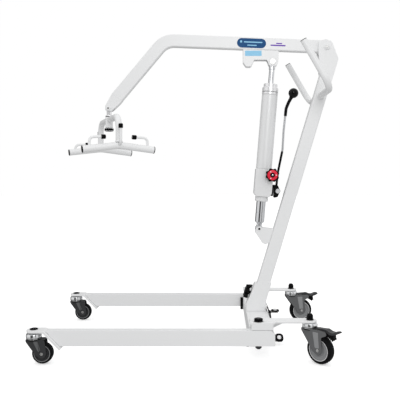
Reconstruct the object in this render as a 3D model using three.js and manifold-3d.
// Hydraulic patient lift on a rolling base, with a six-point sling cradle.
// Millimetres, +Z up. The boom and the legs reach forwards along -X; left is -Y.
import * as THREE from "three";
import { mergeVertices } from "three/addons/utils/BufferGeometryUtils.js";
import Module from "manifold-3d";

const wasm = await Module();
wasm.setup();

// ---------- driving dimensions ----------
const GAP = 0.3; // between pieces that touch
const CENTRE = { x: 102, y: 20 }; // brings the middle of the footprint to the origin

const LEG = { y: 290, width: 32, bottom: 64, top: 118, rear: 192, frontTop: -610, frontBottom: -557 };
const LEG_PIVOT_X = 135;
const CROSS = { front: 104, rear: 190, bottom: 52, top: 116, halfLength: 272 };
const ARM = { y: 265, width: 48, bottom: 138.6, top: 146, x: 319 };
const FRONT_CASTER = {
  x: -652, radius: 37.5, width: 28, trail: 32, top: 107.5, yaw: [0, 0], cap: { radius: 12, height: 5 },
};
const REAR_CASTER = {
  x: ARM.x, radius: 50, width: 32, trail: 44, top: 138.2, yaw: [-42, 10], cap: { radius: 11, height: 24 },
};

const MAST = { x: 152, z: 150, lean: Math.atan(0.302), length: 1004, depth: 50, width: 40, wall: 3 };
const LOCK_KNOB = { x: 128, z: 184 };
const BOOM_PIVOT = { x: 425.5, z: 1167.5 };
const BOOM = { height: 50, width: 32, wall: 3, bend: [-221, 1198], rear: [445, 1171.5], nose: [-411, 971] };
const CRADLE_PIN = { x: -446, z: 924.5 };
const PUMP_FOOT = { x: 156.7, z: 443.1 };
const PUMP_HEAD = { x: 211.3, z: 1111.4 };
const BARREL = { radius: 31.5, bore: 28.5, bottom: 239, top: 538 };
const PISTON = { radius: 11, length: 300 };
const LEVER_PIVOT = { x: 231, z: 593.6 };
const LEVER = { radius: 4.5, ball: 20 };
const HANDLE = { z: 974, halfWidth: 233, radius: 12.5, bend: 50, end: [300.5, 1148] };
const CRADLE = {
  yaw: THREE.MathUtils.degToRad(21.8), halfWidth: 194, barLength: 268, barRadius: 13,
  hookTop: { left: 800, right: 788 },
};
const PEDAL = { z: 61, reach: 85, tilt: THREE.MathUtils.degToRad(22), droop: THREE.MathUtils.degToRad(22) };

// ---------- materials ----------
const finish = (color, roughness, metalness = 0) =>
  new THREE.MeshStandardMaterial({ color, roughness, metalness });
const white = finish(0xe9eaec, 0.35);
const silver = finish(0xd6d7d8, 0.4, 0.3);
const chrome = finish(0xd8dadc, 0.12, 1);
const steel = finish(0x9a9c9f, 0.35, 0.9);
const black = finish(0x141414, 0.5);
const rubber = finish(0x1b1c1e, 0.8);
const grey = finish(0x54565a, 0.5);
const red = finish(0xd01f38, 0.4);

// ---------- shapes ----------
const { degToRad } = THREE.MathUtils;
const at = (x, y, z) => new THREE.Matrix4().makeTranslation(x, y, z);

function solid(geometry, matrix) {
  const shape = geometry.clone();
  shape.deleteAttribute("normal");
  shape.deleteAttribute("uv");
  if (matrix) shape.applyMatrix4(matrix);
  const merged = mergeVertices(shape, 1e-3);
  return new wasm.Manifold(
    new wasm.Mesh({
      numProp: 3,
      vertProperties: new Float32Array(merged.attributes.position.array),
      triVerts: new Uint32Array(merged.index.array),
    }),
  );
}

function surface(manifold) {
  const mesh = manifold.getMesh();
  const geometry = new THREE.BufferGeometry();
  geometry.setAttribute("position", new THREE.BufferAttribute(mesh.vertProperties, 3));
  geometry.setIndex(new THREE.BufferAttribute(mesh.triVerts, 1));
  geometry.computeVertexNormals();
  return geometry;
}

const join = (...solids) => solids.reduce((sum, next) => sum.add(next));
const cut = (body, ...tools) => tools.reduce((left, tool) => left.subtract(tool), body);

// A block between two corners.
function block([x0, x1], [y0, y1], [z0, z1]) {
  const geometry = new THREE.BoxGeometry(x1 - x0, y1 - y0, z1 - z0);
  return solid(geometry, at((x0 + x1) / 2, (y0 + y1) / 2, (z0 + z1) / 2));
}

// A round bar of one radius, or a taper, between two points.
function rod(from, to, radius, endRadius = radius, sides = 16) {
  const a = new THREE.Vector3(...from);
  const b = new THREE.Vector3(...to);
  const along = b.clone().sub(a);
  const turn = new THREE.Quaternion().setFromUnitVectors(
    new THREE.Vector3(0, 1, 0),
    along.clone().normalize(),
  );
  const geometry = new THREE.CylinderGeometry(endRadius, radius, along.length(), sides);
  const middle = a.add(b).multiplyScalar(0.5);
  return solid(geometry, new THREE.Matrix4().compose(middle, turn, new THREE.Vector3(1, 1, 1)));
}

// A plate with an outline in X and Z, between two values of Y. Outline points may carry a
// third number, the radius of that corner.
function plate(outline, y0, y1) {
  const geometry = new THREE.ExtrudeGeometry(outlineShape(outline), {
    depth: y1 - y0,
    bevelEnabled: false,
    curveSegments: 3,
  });
  return solid(geometry, at(0, y1, 0).multiply(new THREE.Matrix4().makeRotationX(Math.PI / 2)));
}

// A plate with an outline in X and Y, between two heights.
function slab(outline, z0, z1) {
  const geometry = new THREE.ExtrudeGeometry(outlineShape(outline), {
    depth: z1 - z0,
    bevelEnabled: false,
    curveSegments: 3,
  });
  return solid(geometry, at(0, 0, z0));
}

function outlineShape(points) {
  const shape = new THREE.Shape();
  const count = points.length;
  points.forEach(([x, y, radius = 0], i) => {
    const corner = new THREE.Vector2(x, y);
    const before = new THREE.Vector2(...points[(i + count - 1) % count]).sub(corner).normalize();
    const after = new THREE.Vector2(...points[(i + 1) % count]).sub(corner).normalize();
    const setback = radius / Math.tan(Math.acos(before.dot(after)) / 2);
    const start = corner.clone().addScaledVector(before, setback);
    const end = corner.clone().addScaledVector(after, setback);
    if (i === 0) shape.moveTo(start.x, start.y);
    else shape.lineTo(start.x, start.y);
    if (radius) shape.quadraticCurveTo(x, y, end.x, end.y);
  });
  return shape;
}

const rectangle = (width, height, radius = 0) => [
  [-width / 2, -height / 2, radius],
  [width / 2, -height / 2, radius],
  [width / 2, height / 2, radius],
  [-width / 2, height / 2, radius],
];

// Straight runs through the points, with every inner corner eased by the bend radius.
function bentPath(points, bendRadius) {
  const corners = points.map((point) => new THREE.Vector3(...point));
  const path = new THREE.CurvePath();
  let start = corners[0];
  for (let i = 1; i < corners.length - 1; i++) {
    const back = corners[i - 1].clone().sub(corners[i]).normalize();
    const onward = corners[i + 1].clone().sub(corners[i]).normalize();
    const setback = bendRadius / Math.tan(Math.acos(back.dot(onward)) / 2);
    const bendStart = corners[i].clone().addScaledVector(back, setback);
    const bendEnd = corners[i].clone().addScaledVector(onward, setback);
    path.add(new THREE.LineCurve3(start, bendStart));
    path.add(new THREE.QuadraticBezierCurve3(bendStart, corners[i], bendEnd));
    start = bendEnd;
  }
  path.add(new THREE.LineCurve3(start, corners.at(-1)));
  return path;
}

function bentRod(points, bendRadius, radius, steps = 12, sides = 12) {
  const section = new THREE.Shape();
  for (let i = 0; i < sides; i++) {
    const angle = (i / sides) * 2 * Math.PI;
    const point = [radius * Math.cos(angle), radius * Math.sin(angle)];
    if (i === 0) section.moveTo(...point);
    else section.lineTo(...point);
  }
  const extrudePath = bentPath(points, bendRadius);
  return solid(new THREE.ExtrudeGeometry(section, { steps, extrudePath, bevelEnabled: false }));
}

// A turned piece about +Z. The profile runs from the axis back to the axis, or closes on itself.
function turned(profile, sides = 20) {
  const points = profile.map(([radius, height]) => new THREE.Vector2(radius, height));
  if (THREE.ShapeUtils.area(points) < 0) points.reverse();
  if (profile[0][0] > 0) points.push(points[0].clone());
  return solid(new THREE.LatheGeometry(points, sides), new THREE.Matrix4().makeRotationX(Math.PI / 2));
}

// A ball with its poles on the Z axis.
function ball(centre, radius, width = 18) {
  return solid(new THREE.SphereGeometry(radius, width, Math.round(width / 2)), at(...centre));
}

// ---------- scene graph ----------
const lift = new THREE.Group();
lift.position.set(CENTRE.x, CENTRE.y, 0);

function place(parent, name, manifold, material) {
  const mesh = new THREE.Mesh(surface(manifold), material);
  mesh.name = name;
  parent.add(mesh);
}

function frameAt(parent, x, y, z, { leanY = 0, yawZ = 0 } = {}) {
  const group = new THREE.Group();
  group.position.set(x, y, z);
  group.rotation.set(0, leanY, yawZ);
  parent.add(group);
  return group;
}

const SIDES = [
  ["left", -1],
  ["right", 1],
];

// ---------- rolling base ----------
function buildBase() {
  const taper = 19; // lets the rear ends of the legs swing inwards
  const half = CROSS.halfLength;
  const crossTube = cut(
    slab(
      [
        [CROSS.front, -half],
        [122, -half],
        [CROSS.rear, taper - half],
        [CROSS.rear, half - taper],
        [122, half],
        [CROSS.front, half],
      ],
      CROSS.bottom,
      CROSS.top,
    ),
    rod([CROSS.rear - 30, 0, PEDAL.z], [CROSS.rear + 1, 0, PEDAL.z], 8.5),
    block([CROSS.front + 4, 160], [-half - 1, half + 1], [CROSS.bottom + 4, CROSS.top - 4]),
  );
  place(lift, "base_cross_tube", crossTube, white);
  for (const [side, sign] of SIDES) {
    buildRearArm(side, sign);
    const bumperY = sign * (half - 4);
    const bumper = block([92, CROSS.front - GAP], [bumperY - 4, bumperY + 4], [52, 106]);
    place(lift, `leg_bumper_${side}`, bumper, rubber);
  }
  const socketOutline = [
    [104.5, 116.3],
    [182, 116.3],
    [182, 150],
    [205, 226],
    [139, 226],
    [104.5, 143],
  ];
  const mastHole = mastStick(MAST.depth + 2 * GAP, MAST.width + 2 * GAP, -GAP, 200, 4);
  const knobHoleEnd = [LOCK_KNOB.x - 40, 0, LOCK_KNOB.z + 40 * Math.tan(MAST.lean)];
  const knobHole = rod([LOCK_KNOB.x, 0, LOCK_KNOB.z], knobHoleEnd, 6 + GAP);
  place(lift, "mast_socket", cut(plate(socketOutline, -24, 24), mastHole, knobHole), white);
}

// One arm carries a rear caster and, on its outer lug, the top of the leg pivot.
function buildRearArm(side, sign) {
  const inner = ARM.y - ARM.width / 2;
  const outer = ARM.y + ARM.width / 2;
  const lug = LEG.y + LEG.width / 2;
  const middle = sign * ARM.y;
  const flat = join(
    block([CROSS.front, 186], edges(sign, inner, lug), [ARM.bottom, ARM.top]),
    block([180, ARM.x], edges(sign, inner, outer), [ARM.bottom, ARM.top]),
    rod([ARM.x, middle, ARM.bottom], [ARM.x, middle, ARM.top], ARM.width / 2, ARM.width / 2, 32),
  );
  const spacer = join(
    block([CROSS.front + 6, 186], edges(sign, inner, 252), [CROSS.top + GAP, ARM.bottom + 1]),
    block([CROSS.front + 6, 186], edges(sign, 250, lug), [LEG.top + 1.2, ARM.bottom + 1]),
  );
  const rib = plate([[184, ARM.bottom + 1], [184, 118], [232, ARM.bottom + 1]], ...edges(sign, 262, 268));
  const pivotHole = rod([LEG_PIVOT_X, sign * LEG.y, 100], [LEG_PIVOT_X, sign * LEG.y, 160], 8 + GAP);
  const stemHole = rod([ARM.x, middle, 120], [ARM.x, middle, 160], 6 + GAP);
  place(lift, `rear_arm_${side}`, cut(join(flat, spacer, rib), pivotHole, stemHole), white);

  const pivot = frameAt(lift, LEG_PIVOT_X, sign * LEG.y, 0);
  const bolt = turned([
    [0, 52],
    [9, 52],
    [11, 57],
    [11, LEG.bottom - GAP],
    [8, LEG.bottom - GAP],
    [8, ARM.top + GAP],
    [15.7, ARM.top + GAP],
    [15.7, ARM.top + 10],
    [13, ARM.top + 12.5],
    [0, ARM.top + 12.5],
  ], 20);
  place(pivot, `leg_pivot_bolt_${side}`, bolt, black);
}

const edges = (sign, near, far) => (sign > 0 ? [near, far] : [-far, -near]);

function buildLegs() {
  for (const [side, sign] of SIDES) {
    const ys = edges(sign, LEG.y - LEG.width / 2, LEG.y + LEG.width / 2);
    const tube = plate(
      [
        [LEG.frontTop, LEG.top],
        [LEG.frontBottom, LEG.bottom],
        [LEG.rear, LEG.bottom],
        [LEG.rear, 104, 4],
        [LEG.rear - 14, LEG.top, 4],
      ],
      ...ys,
    );
    const bore = rod([LEG_PIVOT_X, sign * LEG.y, 50], [LEG_PIVOT_X, sign * LEG.y, 130], 8 + GAP);
    const inside = edges(sign, LEG.y - LEG.width / 2 + 3, LEG.y + LEG.width / 2 - 3);
    const hollow = block([LEG.frontTop - 10, LEG.rear + 1], inside, [LEG.bottom + 3, LEG.top - 3]);
    place(lift, `leg_tube_${side}`, cut(tube, hollow, bore), white);
    buildFrontBracket(side, sign);
  }
}

// A bent plate: flat over the caster, then down the sloping cut face of the leg.
function buildFrontBracket(side, sign) {
  const y = sign * LEG.y;
  const thick = 8;
  const half = 25;
  const gap = 0.5;
  const slope = new THREE.Vector2(LEG.frontBottom - LEG.frontTop, LEG.bottom - LEG.top).normalize();
  const inward = new THREE.Vector2(-slope.y, slope.x).multiplyScalar(-1);
  const toe = new THREE.Vector2(LEG.frontBottom, LEG.bottom).addScaledVector(slope, 9);
  const heel = new THREE.Vector2(LEG.frontTop, LEG.top).addScaledVector(inward, gap);
  const toeTop = toe.clone().addScaledVector(inward, gap);
  const toeBottom = toe.clone().addScaledVector(inward, gap + thick);
  const kneeBottom = heel.clone().addScaledVector(inward, thick);
  const bottom = LEG.top + 1 - thick;
  const knee = kneeBottom.clone().addScaledVector(slope, (bottom - kneeBottom.y) / slope.y);
  const strap = plate(
    [
      [FRONT_CASTER.x, LEG.top + 1],
      [FRONT_CASTER.x, bottom],
      [knee.x, knee.y],
      [toeBottom.x, toeBottom.y],
      [toeTop.x, toeTop.y],
      [heel.x, heel.y],
      [heel.x, LEG.top + 1],
    ],
    y - half,
    y + half,
  );
  const nose = rod([FRONT_CASTER.x, y, bottom], [FRONT_CASTER.x, y, LEG.top + 1], half, half, 32);
  const stemHole = rod([FRONT_CASTER.x, y, 100], [FRONT_CASTER.x, y, 130], 6 + GAP);
  place(lift, `leg_front_bracket_${side}`, cut(join(strap, nose), stemHole), white);
}

// ---------- casters ----------
function buildCaster(name, size, y, yaw, plateTop, hasBrake) {
  const caster = frameAt(lift, size.x, y, 0, { yawZ: degToRad(yaw) });
  const { radius, width, trail, top, cap: capTop } = size;
  const axle = [trail, radius];
  const inside = width / 2 + 1.5;
  const housing = turned([
    [0, top],
    [21, top],
    [24, top - 5],
    [24, top - 17],
    [19, top - 23],
    [0, top - 23],
  ]);
  const stem = rod([0, 0, top - 4], [0, 0, plateTop + 4], 6, 6, 16);
  const capNut = turned([
    [0, plateTop + GAP],
    [13, plateTop + GAP],
    [capTop.radius, plateTop + 3],
    [capTop.radius, plateTop + 0.7 * capTop.height],
    [0.5 * capTop.radius, plateTop + capTop.height],
    [0, plateTop + capTop.height],
  ], 16);
  const foot = [
    [-21, top - 18],
    [-21, top - 25],
    [axle[0] - 20, axle[1] - 5, 6],
    [axle[0], axle[1] - 16, 8],
    [axle[0] + 17, axle[1], 6],
  ];
  const plainBack = [[axle[0] + 8, top - 18]];
  const hornedBack = [
    [axle[0] + 12, top - 41, 3],
    [axle[0] + 30, top - 34, 4],
    [axle[0] + 36, top - 26, 4],
    [axle[0] + 28, top - 18, 3],
  ];
  const cheek = (from, to) => plate([...foot, ...(hasBrake ? hornedBack : plainBack)], from, to);
  const crown = block([-21, 16], [-inside - 3, inside + 3], [top - 24, top - 18]);
  const fork = join(
    housing,
    stem,
    capNut,
    crown,
    cheek(-inside - 3, -inside),
    cheek(inside, inside + 3),
    rod([axle[0], -inside - 6, axle[1]], [axle[0], inside + 6, axle[1]], 4.5, 4.5, 12),
  );
  const swept = radius + 3;
  const clearance = rod([axle[0], -inside, axle[1]], [axle[0], inside, axle[1]], swept, swept, 24);
  const axleBar = rod([axle[0], -inside - 1, axle[1]], [axle[0], inside + 1, axle[1]], 4.5, 4.5, 12);
  place(caster, `caster_fork_${name}`, join(cut(fork, clearance), axleBar), grey);

  const wheel = frameAt(caster, axle[0], 0, axle[1]);
  const upright = new THREE.Matrix4().makeRotationX(Math.PI / 2);
  const half = width / 2;
  const rim = 0.72 * radius;
  const wheelCore = turned([
    [4.5 + GAP, -half + 1],
    [11, -half + 1],
    [11, -half + 5],
    [rim - GAP, -half + 3],
    [rim - GAP, half - 3],
    [11, half - 5],
    [11, half - 1],
    [4.5 + GAP, half - 1],
  ]).transform(upright.elements);
  place(wheel, `wheel_core_${name}`, wheelCore, grey);
  const tyre = turned([
    [rim, -half + 1],
    [radius - 4, -half],
    [radius, -half + 6],
    [radius, half - 6],
    [radius - 4, half],
    [rim, half - 1],
  ], 28).transform(upright.elements);
  place(wheel, `tyre_${name}`, tyre, rubber);

  if (!hasBrake) return;
  const pedal = plate(
    [
      [30, top - 14],
      [30, top - 18],
      [58, top - 18],
      [72, top - 22],
      [86, top - 27.5],
      [98, top - 27],
      [110, top - 23.5],
      [122, top - 18, 1],
      [124, top - 14.5, 1],
      [112, top - 14],
      [98, top - 19],
      [86, top - 18],
      [72, top - 11.8],
      [57, top - 12.5],
    ],
    -13,
    13,
  );
  place(caster, `brake_pedal_${name}`, cut(pedal, clearance), grey);
}

// ---------- mast ----------
// A stick along the mast's axis, from its foot or from any distance up it.
function mastStick(depth, width, from, to, radius = 4) {
  const turn = new THREE.Matrix4().makeRotationY(MAST.lean);
  const local = slab(rectangle(depth, width, radius), from, to);
  return local.transform(at(MAST.x, 0, MAST.z).multiply(turn).elements);
}

function buildMast() {
  const wall = 2 * MAST.wall;
  const bore = mastStick(MAST.depth - wall, MAST.width - wall, -1, MAST.length + 1, 2);
  place(lift, "mast_tube", cut(mastStick(MAST.depth, MAST.width, 0, MAST.length), bore), white);

  const mastHalf = MAST.width / 2 + GAP;
  const earOutline = [
    [400, 1063],
    [392, 1142],
    [392, 1191, 4],
    [423.5, 1200, 10],
    [447, 1186, 12],
    [472, 1121],
    [443.5, 1028],
  ];
  const ear = (sign) => plate(earOutline, ...edges(sign, mastHalf, mastHalf + 5));
  const web = block([424, 446], [-mastHalf - 1, mastHalf + 1], [1120.5, 1127]);
  const pinHole = rod([BOOM_PIVOT.x, -40, BOOM_PIVOT.z], [BOOM_PIVOT.x, 40, BOOM_PIVOT.z], 8 + GAP);
  place(lift, "mast_head", cut(join(ear(-1), ear(1), web), pinHole), white);

  const pin = join(
    rod([BOOM_PIVOT.x, -27, BOOM_PIVOT.z], [BOOM_PIVOT.x, 27, BOOM_PIVOT.z], 8),
    rod([BOOM_PIVOT.x, -32, BOOM_PIVOT.z], [BOOM_PIVOT.x, -mastHalf - 5 - GAP, BOOM_PIVOT.z], 13, 13, 6),
    rod([BOOM_PIVOT.x, mastHalf + 5 + GAP, BOOM_PIVOT.z], [BOOM_PIVOT.x, 33, BOOM_PIVOT.z], 12, 12, 6),
  );
  place(lift, "boom_pivot_bolt", pin, steel);

  const { x, z } = PUMP_FOOT;
  const cheek = (from, to) =>
    plate(
      [
        [146, 451, 8],
        [236, 440],
        [226, 402],
        [180, 380, 6],
        [168, 388],
        [141, 428, 8],
      ],
      from,
      to,
    );
  const bracket = join(cheek(-18, -13), cheek(13, 18), block([196, 222], [-14, 14], [392, 430]));
  const footHole = rod([x, -30, z], [x, 30, z], 6 + GAP);
  const mastCut = mastStick(MAST.depth + 2 * GAP, MAST.width + 2 * GAP, 0, 400);
  place(lift, "pump_foot_bracket", cut(bracket, mastCut, footHole), white);
  const footPin = join(
    rod([x, -20, z], [x, 20, z], 6),
    rod([x, -22, z], [x, -18 - GAP, z], 10),
    rod([x, 18 + GAP, z], [x, 22, z], 10),
  );
  place(lift, "pump_foot_pin", footPin, black);

  buildLockKnob();
  for (const [side, sign] of SIDES) buildPushHandle(side, sign);
}

function buildLockKnob() {
  const knob = frameAt(lift, LOCK_KNOB.x, 0, LOCK_KNOB.z, { leanY: MAST.lean - Math.PI / 2 });
  const lobes = Array.from({ length: 5 }, (_, i) => {
    const angle = (i / 5) * 2 * Math.PI;
    const [x, y] = [20 * Math.cos(angle), 20 * Math.sin(angle)];
    return rod([x, y, 12], [x, y, 30], 8, 8, 14);
  });
  const hub = turned([[0, 4], [6, 4], [6, 11], [20, 12], [20, 30], [8, 32], [0, 32]]);
  place(knob, "mast_lock_knob", join(hub, ...lobes), black);
}

function buildPushHandle(side, sign) {
  const x = MAST.x + Math.tan(MAST.lean) * (HANDLE.z - MAST.z);
  const y = sign * HANDLE.halfWidth;
  const route = [
    [x, sign * (MAST.width / 2 + GAP), HANDLE.z],
    [x, y, HANDLE.z],
    [HANDLE.end[0], y, HANDLE.end[1]],
  ];
  const tube = (radius, sides) => bentRod(route, HANDLE.bend, radius, 16, sides);
  const grip = cut(tube(HANDLE.radius, 12), tube(HANDLE.radius - 2.5, 8));
  place(lift, `push_handle_${side}`, grip, white);
}

// ---------- boom ----------
function buildBoom() {
  const direction = new THREE.Vector2(...BOOM.bend).sub(new THREE.Vector2(...BOOM.nose)).normalize();
  const path = bentPath(
    [
      [BOOM.nose[0], 0, BOOM.nose[1]],
      [BOOM.bend[0], 0, BOOM.bend[1]],
      [BOOM.rear[0], 0, BOOM.rear[1]],
    ],
    80,
  );
  const beam = (width, height) =>
    solid(
      new THREE.ExtrudeGeometry(outlineShape(rectangle(width, height, 4)), {
        steps: 14,
        extrudePath: path,
        bevelEnabled: false,
        curveSegments: 2,
      }),
    );
  const pinHole = rod([BOOM_PIVOT.x, -30, BOOM_PIVOT.z], [BOOM_PIVOT.x, 30, BOOM_PIVOT.z], 8 + GAP);
  const wall = 2 * BOOM.wall;
  const boom = cut(beam(BOOM.width, BOOM.height), beam(BOOM.width - wall, BOOM.height - wall), pinHole);
  place(lift, "boom_tube", boom, white);

  const across = new THREE.Vector2(-direction.y, direction.x);
  const start = new THREE.Vector2(...BOOM.nose).addScaledVector(direction, -GAP);
  const edge = (along, side) => {
    const point = start.clone().addScaledVector(direction, -along).addScaledVector(across, side);
    return [point.x, point.y];
  };
  const noseOutline = [
    edge(0, 25),
    [CRADLE_PIN.x - 13, CRADLE_PIN.z + 10, 8],
    [CRADLE_PIN.x - 13, CRADLE_PIN.z - 11, 8],
    [CRADLE_PIN.x + 13, CRADLE_PIN.z - 11, 6],
    edge(18, -25),
    edge(0, -25),
  ];
  const throat = block([-475, -422], [-10.5, 10.5], [895, 946]);
  const cradleHole = rod([CRADLE_PIN.x, -30, CRADLE_PIN.z], [CRADLE_PIN.x, 30, CRADLE_PIN.z], 6 + GAP);
  place(lift, "boom_nose", cut(plate(noseOutline, -16, 16), throat, cradleHole), white);

  buildPumpHeadBracket();
}

function buildPumpHeadBracket() {
  const { x, z } = PUMP_HEAD;
  const top = 1166; // above the boom's lower face, which trims it
  const outline = [
    [92, top],
    [92, 1108, 12],
    [104, 1091, 10],
    [124, 1091, 10],
    [136, 1118],
    [188, 1118],
    [x - 20, z, 10],
    [x - 12, z - 20, 10],
    [x + 12, z - 20, 10],
    [x + 22, z, 10],
    [234, top],
  ];
  const cheek = (from, to) => plate(outline, from, to);
  const cheeks = join(cheek(-17, -12.5), cheek(12.5, 17), block([96, 186], [-13, 13], [1136, 1148]));
  const headHole = rod([x, -30, z], [x, 30, z], 6 + GAP);
  const underside = boomUnderside();
  place(lift, "pump_head_bracket", cut(cheeks, headHole, underside), white);
  const headPin = join(
    rod([x, -20, z], [x, 20, z], 6),
    rod([x, -22.5, z], [x, -17 - GAP, z], 10, 10, 6),
    rod([x, 17 + GAP, z], [x, 22, z], 10, 10, 6),
  );
  place(lift, "pump_head_pin", headPin, steel);
}

// Everything above the lower face of the boom's straight run.
function boomUnderside() {
  const [bx, bz] = BOOM.bend;
  const [rx, rz] = BOOM.rear;
  const slope = (rz - bz) / (rx - bx);
  const face = (x) => bz + slope * (x - bx) - BOOM.height / 2 - GAP;
  return plate([[60, face(60)], [260, face(260)], [260, 1250], [60, 1250]], -40, 40);
}

// ---------- hydraulic pump ----------
function buildPump() {
  const { x, z } = PUMP_FOOT;
  const lean = Math.atan2(PUMP_HEAD.x - x, PUMP_HEAD.z - z);
  const pump = frameAt(lift, x, 0, z, { leanY: lean });
  const footEye = cut(
    join(
      rod([0, -10, 0], [0, 10, 0], 16),
      block([-11, 11], [-10, 10], [0, 24]),
      rod([0, 0, 14], [0, 0, 30], 11),
      rod([0, 0, 24], [0, 0, 112], 19, 19, 28),
    ),
    rod([0, -12, 0], [0, 12, 0], 6 + GAP),
  );
  place(pump, "pump_foot_rod", footEye, chrome);

  const collar = turned([
    [19 + GAP, 110],
    [26.5, 110],
    [26.5, 129 - GAP],
    [19 + GAP, 129 - GAP],
  ]);
  place(pump, "pump_foot_collar", collar, silver);

  const blockTop = BARREL.bottom - GAP;
  const body = plate(
    [
      [-33, 139],
      [-24, 129],
      [28, 129],
      [37, 143],
      [37, blockTop],
      [-33, blockTop],
    ],
    -32,
    32,
  );
  const knobBoss = rod([31, -43, 218], [31, -31, 218], 13);
  const leverLug = block([36, 42], [-12, 12], [140, 180]);
  place(pump, "pump_block", join(body, knobBoss, leverLug), silver);

  place(pump, "pump_barrel", turned([
    [BARREL.bore, BARREL.bottom],
    [BARREL.radius, BARREL.bottom],
    [BARREL.radius, BARREL.top - GAP],
    [BARREL.bore, BARREL.top - GAP],
  ], 36), silver);

  const ring = turned([
    [0, BARREL.top],
    [32, BARREL.top],
    [32, BARREL.top + 29],
    [27.5, BARREL.top + 31],
    [27.5, BARREL.top + 44],
    [0, BARREL.top + 44],
  ], 36);
  const slot = slab(rectangle(50, 24, 11.9), BARREL.top - 1, BARREL.top + 45);
  place(pump, "pump_gland", cut(ring, slot), chrome);

  buildPiston();
  buildReleaseKnob(pump);
}

function buildPiston() {
  const { x, z } = PUMP_HEAD;
  const lean = Math.atan2(x - PUMP_FOOT.x, z - PUMP_FOOT.z);
  const piston = frameAt(lift, x, 0, z, { leanY: lean });
  const eye = join(
    rod([0, -11, 0], [0, 11, 0], 17),
    rod([0, 0, -PISTON.length], [0, 0, -8], PISTON.radius),
  );
  place(piston, "pump_piston_rod", cut(eye, rod([0, -14, 0], [0, 14, 0], 6 + GAP)), chrome);
}

function buildReleaseKnob(pump) {
  const knob = frameAt(pump, 31, 0, 218);
  const lobes = Array.from({ length: 8 }, (_, i) => {
    const angle = ((i + 0.5) / 8) * 2 * Math.PI;
    const [kx, kz] = [22.5 * Math.cos(angle), 22.5 * Math.sin(angle)];
    return rod([kx, -66, kz], [kx, -49, kz], 5.5, 5.5, 10);
  });
  const grip = cut(
    join(rod([0, -66, 0], [0, -47, 0], 23.5), rod([0, -50, 0], [0, -43 - GAP, 0], 10), ...lobes),
    rod([0, -67, 0], [0, -61, 0], 20.5),
  );
  const pointer = rod([0, -69, 0], [0, -60, 0], 8.5);
  place(knob, "release_knob", join(grip, pointer), black);
  const redRing = cut(
    rod([0, -68, 0], [0, -61 - GAP, 0], 20.5 - GAP),
    rod([0, -70, 0], [0, -60, 0], 8.5 + GAP),
  );
  place(knob, "release_knob_ring", redRing, red);
}

function buildLever() {
  const { x, z } = LEVER_PIVOT;
  const cheek = (from, to) =>
    plate(
      [
        [x - 16, z + 25],
        [x - 16, z - 27],
        [x, z - 24],
        [x + 6, z - 8],
        [x + 6, z + 10],
        [x, z + 25],
      ],
      from,
      to,
    );
  const back = block([x - 16, x - 12], [-14, 14], [z - 27, z + 25]);
  const socket = join(cheek(-14, -8.5), cheek(8.5, 14), back);
  place(lift, "lever_socket", cut(socket, rod([x, -20, z], [x, 20, z], 5 + GAP)), black);
  const bolt = join(
    rod([x, -17, z], [x, 17, z], 5, 5, 16),
    rod([x, -20, z], [x, -14 - GAP, z], 9, 9, 6),
    rod([x, 14 + GAP, z], [x, 19, z], 9, 9, 6),
  );
  place(lift, "lever_bolt", bolt, chrome);
  const stroke = [
    [x, 0, z],
    [227, 0, 617],
    [233, 0, 669],
    [252, 0, 762],
    [256, 0, 834],
    [266, 0, 926],
    [276, 0, 950],
    [287, 0, 970],
  ];
  const handle = join(bentRod(stroke, 9, LEVER.radius, 30, 8), rod([x, -8, z], [x, 8, z], 11, 11, 18));
  place(lift, "pump_lever", cut(handle, rod([x, -12, z], [x, 12, z], 5 + GAP)), chrome);
  const knob = cut(ball([295.5, 0, 987.4], LEVER.ball), bentRod(stroke, 9, LEVER.radius + GAP, 30, 8));
  place(lift, "lever_ball", knob, black);
}

// ---------- leg-spreading pedal ----------
function buildPedal() {
  const pedal = frameAt(lift, 0, 0, PEDAL.z);
  pedal.rotation.x = PEDAL.tilt;
  const shaft = rod([CROSS.rear - 28, 0, 0], [218, 0, 0], 8);
  const boss = rod([203, 0, 0], [214, 0, 0], 13);
  const bar = block([204, 210], [-PEDAL.reach + 12, PEDAL.reach - 12], [-7, 7]);
  const drooped = (sign, manifold) => {
    const turn = new THREE.Matrix4().makeRotationX(-sign * PEDAL.droop);
    return manifold.transform(at(0, sign * PEDAL.reach, -3).multiply(turn).elements);
  };
  const tongues = SIDES.map(([, sign]) => drooped(sign, block([204, 240], [-15, 15], [-4, 0])));
  place(pedal, "foot_pedal_rocker", join(shaft, boss, bar, ...tongues), steel);
  for (const [side, sign] of SIDES) {
    const pad = drooped(sign, block([213, 246], edges(sign, -16, 18.5), [GAP, 6]));
    place(pedal, `pedal_pad_${side}`, pad, rubber);
  }
  const coverOutline = [
    [182.4, 141],
    [190.4, 119],
    [190.4, 74],
    [197, 74],
    [201, 84],
    [199, 106],
    [187, 141],
  ];
  const cover = join(
    plate(coverOutline, -46, 46),
    block([194, 203], [-26, -14], [104, 116]),
    block([197, 207], [14, 26], [84, 96]),
  );
  place(lift, "pedal_guard", cover, white);
}

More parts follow.
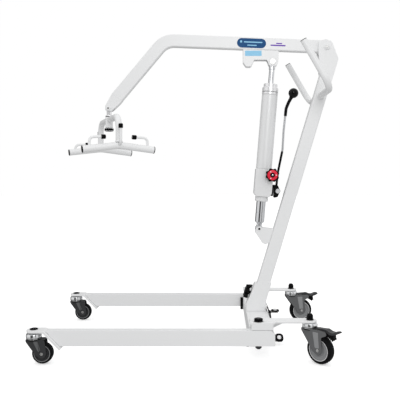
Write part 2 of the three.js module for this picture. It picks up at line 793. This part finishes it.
// ---------- sling cradle ----------
function buildCradle() {
  const { x, z } = CRADLE_PIN;
  const pin = join(
    rod([x, -19, z], [x, 19, z], 6),
    rod([x, -21, z], [x, -16 - GAP, z], 9, 9, 6),
    rod([x, 16 + GAP, z], [x, 21, z], 9, 9, 6),
  );
  place(lift, "cradle_pin", pin, steel);

  const cradle = frameAt(lift, x, 0, 0, { yawZ: CRADLE.yaw });
  const tongue = cut(
    join(rod([x, -10, z], [x, 10, z], 11), block([x - 9, x + 9], [-10, 10], [895, z])),
    rod([x, -12, z], [x, 12, z], 6 + GAP),
  );
  const kingpin = rod([x, 0, 834], [x, 0, 897], 7, 7, 16);
  const flange = rod([x, 0, 893.5], [x, 0, 897.5], 13.5);
  const nut = rod([x, 0, 833], [x, 0, 846], 17.5);
  place(lift, "cradle_yoke", join(tongue, kingpin, flange, nut), steel);

  const arch = bentRod(
    [
      [0, -CRADLE.halfWidth, 781.5],
      [0, -CRADLE.halfWidth, 879],
      [0, CRADLE.halfWidth, 879],
      [0, CRADLE.halfWidth, 781.5],
    ],
    55,
    12,
    26,
  );
  const hub = rod([0, 0, 847], [0, 0, 893], 15);
  place(cradle, "cradle_arch", cut(join(arch, hub), rod([0, 0, 840], [0, 0, 900], 7 + GAP)), white);

  for (const [side, sign] of SIDES) {
    const half = CRADLE.barLength / 2;
    const y = sign * CRADLE.halfWidth;
    const drop = half * Math.tan(degToRad(7));
    const spine = [[-half, y, 769 - drop], [0, y, 769], [half, y, 769 - drop]];
    const bar = bentRod(spine, 60, CRADLE.barRadius, 8, 14);
    const hookTop = CRADLE.hookTop[side];
    const outerHook = (end) =>
      bentRod(
        [
          [end * 108, y, 758],
          [end * 108, y, hookTop - 2],
          [end * 48, y, hookTop],
        ],
        17,
        5,
        10,
        8,
      );
    const centreHook = bentRod(
      [
        [0, y, 770],
        [0, y + sign * 32, 776],
        [0, y + sign * 32, 848],
      ],
      16,
      5,
      12,
      8,
    );
    const archCut = rod([0, y, 781.2], [0, y, 800], 12 + GAP);
    const welded = join(bar, outerHook(-1), outerHook(1), centreHook);
    place(cradle, `cradle_bar_${side}`, cut(welded, archCut), white);
  }
}

buildBase();
buildLegs();
SIDES.forEach(([side, sign], i) => {
  const front = FRONT_CASTER.yaw[i];
  const rear = REAR_CASTER.yaw[i];
  buildCaster(`front_${side}`, FRONT_CASTER, sign * LEG.y, front, LEG.top + 1, false);
  buildCaster(`rear_${side}`, REAR_CASTER, sign * ARM.y, rear, ARM.top, true);
});
buildMast();
buildBoom();
buildPump();
buildLever();
buildPedal();
buildCradle();

export default lift;
